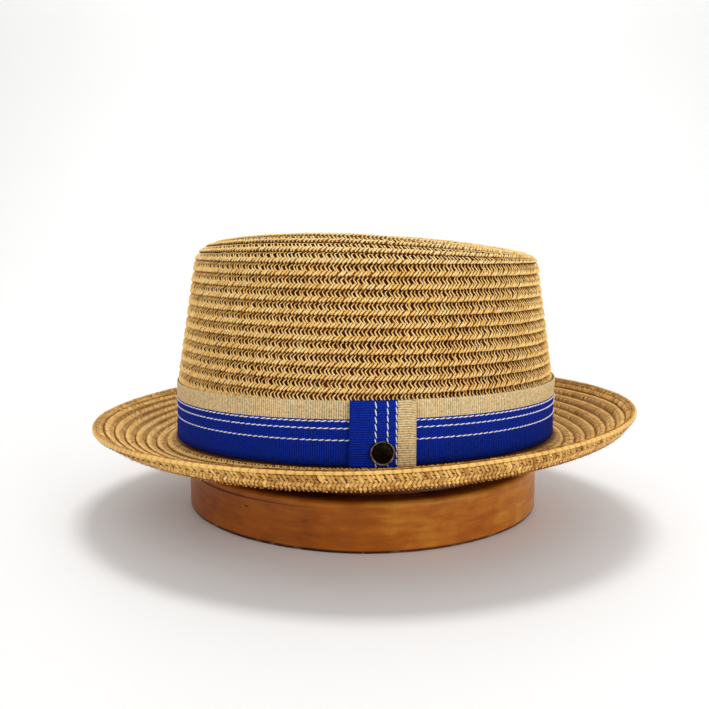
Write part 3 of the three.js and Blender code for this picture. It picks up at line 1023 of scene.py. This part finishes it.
def keeper_point(across, up, out):
    """Across runs from 0 at the front edge to 1, and up from 0 at the foot to 1 at the top."""
    across, up, out = np.broadcast_arrays(np.asarray(across, float), up, out)
    angle = near_angle(KEEPER_CENTRE + KEEPER_WIDTH * (across - 0.5))
    belly = 0.25 * np.sin(math.pi * np.clip(up, 0, 1))
    return ribbon_point(up, angle, RIBBON_THICKNESS + KEEPER_CLEAR + belly + out)


def keeper(material, thread):
    """The keeper, with thin side edges, a rolled top and its back corner drawn down a little."""
    grid_a, grid_u = np.meshgrid(np.linspace(0, 1, KEEPER_COLUMNS), np.linspace(0, 1, KEEPER_ROWS))
    side = np.abs(grid_a - 0.5) * 2
    top_drop = KEEPER_CORNER * np.clip((grid_a - 0.85) / 0.15, 0, 1) ** 3
    edge_in = np.clip((side - 0.965) / 0.035, 0, 1) ** 2
    roll = np.clip((grid_u - 0.95) / 0.05, 0, 1) ** 2
    reach = grid_u * (1.012 - top_drop)
    outer = keeper_point(grid_a, reach, RIBBON_THICKNESS - 0.35 * edge_in - 0.6 * roll)
    inner = keeper_point(grid_a, reach * 0.997, 0.0)
    points = np.concatenate([outer.reshape(-1, 3), inner.reshape(-1, 3)])
    face = grid_faces(KEEPER_ROWS, KEEPER_COLUMNS, wrap_columns=False)
    total = KEEPER_ROWS * KEEPER_COLUMNS
    faces = np.concatenate([face, face[:, ::-1] + total, keeper_rim(total)])
    uv = np.stack([grid_u * RIBBON_WIDTH, grid_a], -1).reshape(-1, 2)
    obj = make_object("keeper_ribbon", points, faces, material, None, np.concatenate([uv, uv]))
    place_piece(obj, "ribbon", "band_keeper")
    stitches = keeper_stitches(thread)


def keeper_rim(total):
    """Quads that close the keeper's four sides."""
    index = np.arange(total).reshape(KEEPER_ROWS, KEEPER_COLUMNS)
    loop = np.concatenate([index[0, :-1], index[:-1, -1], index[-1, :0:-1], index[:0:-1, 0]])
    after = np.roll(loop, -1)
    return np.stack([after, loop, loop + total, after + total], -1)


def keeper_stitches(thread):
    """Three upright lines of stitches, each line with its slant."""
    starts, ends, lifts = [], [], []
    out = RIBBON_THICKNESS + STITCH_LIFT
    for line, (across, slant) in enumerate(KEEPER_LINES.items()):
        up = (np.arange(KEEPER_STITCHES) + KEEPER_LINE_SHIFT * line) / KEEPER_STITCHES
        end_up = np.minimum(up + KEEPER_STITCH_LENGTH / RIBBON_WIDTH, 0.995)
        starts.append(keeper_point(across + slant, up, out))
        ends.append(keeper_point(across - slant, end_up, out))
        angle = near_angle(np.full(len(up), KEEPER_CENTRE + KEEPER_WIDTH * (across - 0.5)))
        lifts.append(outward_at(angle))
    obj = capsules("keeper_stitches", starts, ends, STITCH_RADIUS, lifts, thread)
    return place_piece(obj, "ribbon")


# The badge, a domed pin with a raised rim. Its profile says how far out and how high.

BADGE_CENTRE = 7.8
BADGE_HEIGHT = 51.8
BADGE_RADIUS = 5.8
BADGE_TOP = 1.55
BADGE_PROFILE = [
    (0.25, 1.52), (0.50, 1.38),
    (0.68, 1.12), (0.78, 0.95),
    (0.82, 0.98), (0.86, 1.35),
    (0.91, 1.58), (0.96, 1.50),
    (1.00, 1.10), (1.00, 0.20),
    (0.94, 0.00),
]
BADGE_SIDES = 72


def badge(material):
    turn = whole_turn(BADGE_SIDES)
    angle = near_angle(np.array([BADGE_CENTRE]))
    up = (BADGE_HEIGHT - BRIM_ROOT[0] + BRIM_ROOT[2] - RIBBON_FOOT_GAP) / RIBBON_WIDTH
    seat = keeper_point((BADGE_CENTRE - KEEPER_CENTRE) / KEEPER_WIDTH + 0.5, up, RIBBON_THICKNESS + 0.1)
    out = outward_at(angle)[0]
    right = np.cross(np.array([0.0, 0.0, 1.0]), out)
    right /= np.linalg.norm(right)
    circle = right * np.cos(turn)[:, None] + np.cross(out, right) * np.sin(turn)[:, None]
    rings = [seat + circle * (BADGE_RADIUS * part) + out * high for part, high in BADGE_PROFILE]
    rim = [float(0.85 < part < 0.98) for part, high in BADGE_PROFILE]
    pin = capped_object("badge_pin", rings, material, rim, [seat + out * BADGE_TOP, seat])
    place_piece(pin, "bronze", "badge")


# The stand

STAND_HALF_LENGTH = 98.3
STAND_HALF_WIDTH = 84.0
STAND_HEIGHT = 25.4
STAND_LEDGE = 11.0
STAND_STEP_TOP = 46.0
POST_HALF_LENGTH = 48.0
POST_HALF_WIDTH = 34.0
STAND_STEPS = 256
FOOT_RADIUS = 1.3
BROW_RADIUS = 2.2
STEP_BEVEL = 1.5
STAND_TONE = 0.04


def stand_ring(inset, height, angle):
    """Points round the stand's side, at an inset from its outline."""
    x, y = oval(STAND_HALF_LENGTH - inset, STAND_HALF_WIDTH - inset, HEAD_ROUNDNESS, angle)
    return np.stack([x, y, np.full_like(x, height)], -1)


def stand_profile():
    """The stand's side from its base up: inset, height and tone, with rounded edges. Its foot is painted dark
    as shade where it meets the floor, its ledge and step are painted dark as shade under the brim, and its
    rounded top edge is a little lighter than the side.
    """
    foot, brow = FOOT_RADIUS, BROW_RADIUS
    turns = np.linspace(0, math.pi / 2, 5)
    # Painted shade: the rounded foot is dark where it meets the floor.
    edge = [(foot * (1 - math.sin(a)), foot * (1 - math.cos(a)), -0.45) for a in turns]
    side = [(0.0, z, STAND_TONE) for z in (2.0, 4.5, 8.0, 12.0, 16.0, 20.0)]
    turns = np.linspace(0.15, math.pi / 2, 7)
    top = [(brow * (1 - math.cos(a)), STAND_HEIGHT - brow * (1 - math.sin(a)), 0.1) for a in turns]
    # Painted shade: the ledge and the step sit under the brim and are painted dark.
    ledge = [(STAND_LEDGE * 0.5, STAND_HEIGHT, -0.3), (STAND_LEDGE - 0.6, STAND_HEIGHT, -0.5)]
    step = [
        (STAND_LEDGE, STAND_HEIGHT + 0.6, -0.4),
        (STAND_LEDGE, STAND_HEIGHT + 4.0, -0.15),
        (STAND_LEDGE, STAND_STEP_TOP - STEP_BEVEL, -0.1),
        (STAND_LEDGE + STEP_BEVEL, STAND_STEP_TOP, -0.1),
    ]
    return edge + side + top + ledge + step


# A shallow groove that runs along the front left of the stand, just under its top edge: depth, height and
# painted shade in its hollow, and the angles in degrees where it starts, ends and fades
GROOVE = [(0.0, 21.3, 0.0), (0.35, 21.65, 1.0), (0.35, 21.85, 1.0), (0.0, 22.2, 0.0)]
GROOVE_FROM = 188
GROOVE_TO = 262
GROOVE_FADE_IN = 8
GROOVE_FADE_OUT = 45


def groove_rings(angle):
    """Rings that dip into the side only where the groove runs, with their tones."""
    turn = np.degrees(angle)
    start = np.clip((turn - GROOVE_FROM) / GROOVE_FADE_IN, 0, 1)
    strength = start * np.clip((GROOVE_TO - turn) / GROOVE_FADE_OUT, 0, 1)
    rings, tones = [], []
    for depth, height, dark in GROOVE:
        rings.append(stand_ring(depth * strength, height, angle))
        # Painted shade: the groove is drawn darker in its hollow.
        tones.append(STAND_TONE - 0.55 * dark * strength)
    return rings, tones


def stand(material):
    angle = whole_turn(STAND_STEPS)
    post_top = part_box("stand")[1][2] / MM
    rings = []
    tones = []
    grooves, groove_tones = groove_rings(angle)
    for inset, height, tone in stand_profile():
        if height > GROOVE[-1][1] and grooves:
            rings += grooves
            tones += groove_tones
            grooves = []
        rings.append(stand_ring(inset, height, angle))
        tones.append(tone)
    for inset, height in ((0, STAND_STEP_TOP), (0, post_top - STEP_BEVEL), (STEP_BEVEL, post_top)):
        x, y = oval(POST_HALF_LENGTH - inset, POST_HALF_WIDTH - inset, HEAD_ROUNDNESS, angle)
        rings.append(np.stack([x + HEAD_SHIFT_BACK, y, np.full_like(x, height)], -1))
        tones.append(0)
    place_piece(capped_object("stand_block", rings, material, tones), "wood", "stand")


NAIL_HOLE = {"turn": 233, "height": 17.4, "radius": 1.1, "sunk": 0.1}


def nail_hole(material):
    """A small hole low on the front left of the stand, drawn as a dark disc of painted shade."""
    angle = np.radians([NAIL_HOLE["turn"]])
    middle = stand_ring(NAIL_HOLE["sunk"], NAIL_HOLE["height"], angle)
    half = np.array([[0, 0, 0.1]])
    ways = [outward_at(angle)]
    obj = capsules("stand_nail_hole", [middle - half], [middle + half], NAIL_HOLE["radius"], ways, material)
    place_piece(obj, "wood")


# Camera, light and floor

CAMERA_DISTANCE = 430.8
CAMERA_HEIGHT = 148.0
CAMERA_ACROSS = -5.05
CAMERA_PITCH = 0.149
CAMERA_ROLL = 0.006
CAMERA_FOCAL_PX = 770
PHOTO_PX = 709


def add_camera():
    data = bpy.data.cameras.new("camera")
    data.sensor_width = 36
    data.lens = 36 * CAMERA_FOCAL_PX / PHOTO_PX
    data.clip_start = 0.01
    camera = bpy.data.objects.new("camera", data)
    bpy.context.scene.collection.objects.link(camera)
    place = Matrix.Translation((CAMERA_ACROSS * MM, -CAMERA_DISTANCE * MM, CAMERA_HEIGHT * MM))
    tilt = Matrix.Rotation(math.pi / 2 - CAMERA_PITCH, 4, "X")
    camera.matrix_world = place @ tilt @ Matrix.Rotation(CAMERA_ROLL, 4, "Z")
    bpy.context.scene.camera = camera


def add_area(name, place, target, size, power):
    data = bpy.data.lights.new(name, "AREA")
    data.shape = "RECTANGLE"
    data.size, data.size_y = size
    data.energy = power
    light = bpy.data.objects.new(name, data)
    bpy.context.scene.collection.objects.link(light)
    light.location = place
    x, y, z = np.array(target) - np.array(place)
    light.rotation_euler = (math.acos(-z / math.hypot(x, y, z)), 0, math.atan2(y, x) - math.pi / 2)


STAGE = {"near": -900, "far": 700, "bend": 600, "high": 1900, "side": 2500}
PAPER_TONES = [(0.3, (0.91, 0.91, 0.905)), (0.7, (0.93, 0.93, 0.925))]


def add_stage():
    """A pale floor that curves up into a pale wall."""
    look = Look("studio_paper", 0.6)
    look.set("Base Color", look.ramp(look.noise(look.object, 3.0, 2.0), PAPER_TONES))
    far, bend = STAGE["far"], STAGE["bend"]
    turns = np.linspace(0, math.pi / 2, 16)
    profile = [(STAGE["near"], 0)]
    profile += [(far + bend * math.sin(a), bend - bend * math.cos(a)) for a in turns]
    profile.append((far + bend, STAGE["high"]))
    points = [(x, y, z) for y, z in profile for x in (-STAGE["side"], STAGE["side"])]
    faces = grid_faces(len(profile), 2, wrap_columns=False)
    make_object("studio_floor", points, faces, look.material)


def add_lights():
    world = bpy.data.worlds.new("studio")
    world.use_nodes = True
    background = world.node_tree.nodes["Background"]
    background.inputs["Color"].default_value = (1, 1, 1, 1)
    background.inputs["Strength"].default_value = 0.53
    bpy.context.scene.world = world
    bpy.context.scene.view_settings.view_transform = "Standard"
    add_area("key", (0.04, 0.62, 2.0), (0, 0, 0.05), (0.64, 0.45), 17.5)
    add_area("fill_right", (1.0, -0.9, 0.42), (0, 0, 0.08), (0.8, 0.8), 7.8)
    add_area("fill_left", (-1.0, -0.9, 0.42), (0, 0, 0.08), (0.8, 0.8), 3.8)
    add_area("wall", (0.0, 0.7, 1.2), (0, 1.2, 0.5), (2.0, 0.6), 1.4)


def main():
    straw = straw_material("straw_braid", STRAW_TONES)
    edge_straw = straw_material("edge_straw_braid", EDGE_TONES)
    ribbon = ribbon_material()
    thread = thread_material("white_thread", WHITE_THREAD)
    add_camera()
    crown_pieces(straw)
    brim = brim_pieces(straw)
    hole_shade = thread_material("painted_hole_shade", HOLE_SHADE)
    edge_pieces(edge_straw, hole_shade, brim)
    band, length, angle_at = hatband(ribbon)
    half = KEEPER_WIDTH / 2
    covered = near_angle(np.array([KEEPER_CENTRE - half, KEEPER_CENTRE + half]))
    stitches = band_stitches(thread, length, angle_at, covered)
    keeper(ribbon, thread)
    badge(bronze_material())
    stand(wood_material())
    nail_hole(hole_shade)
    add_stage()
    add_lights()


main()
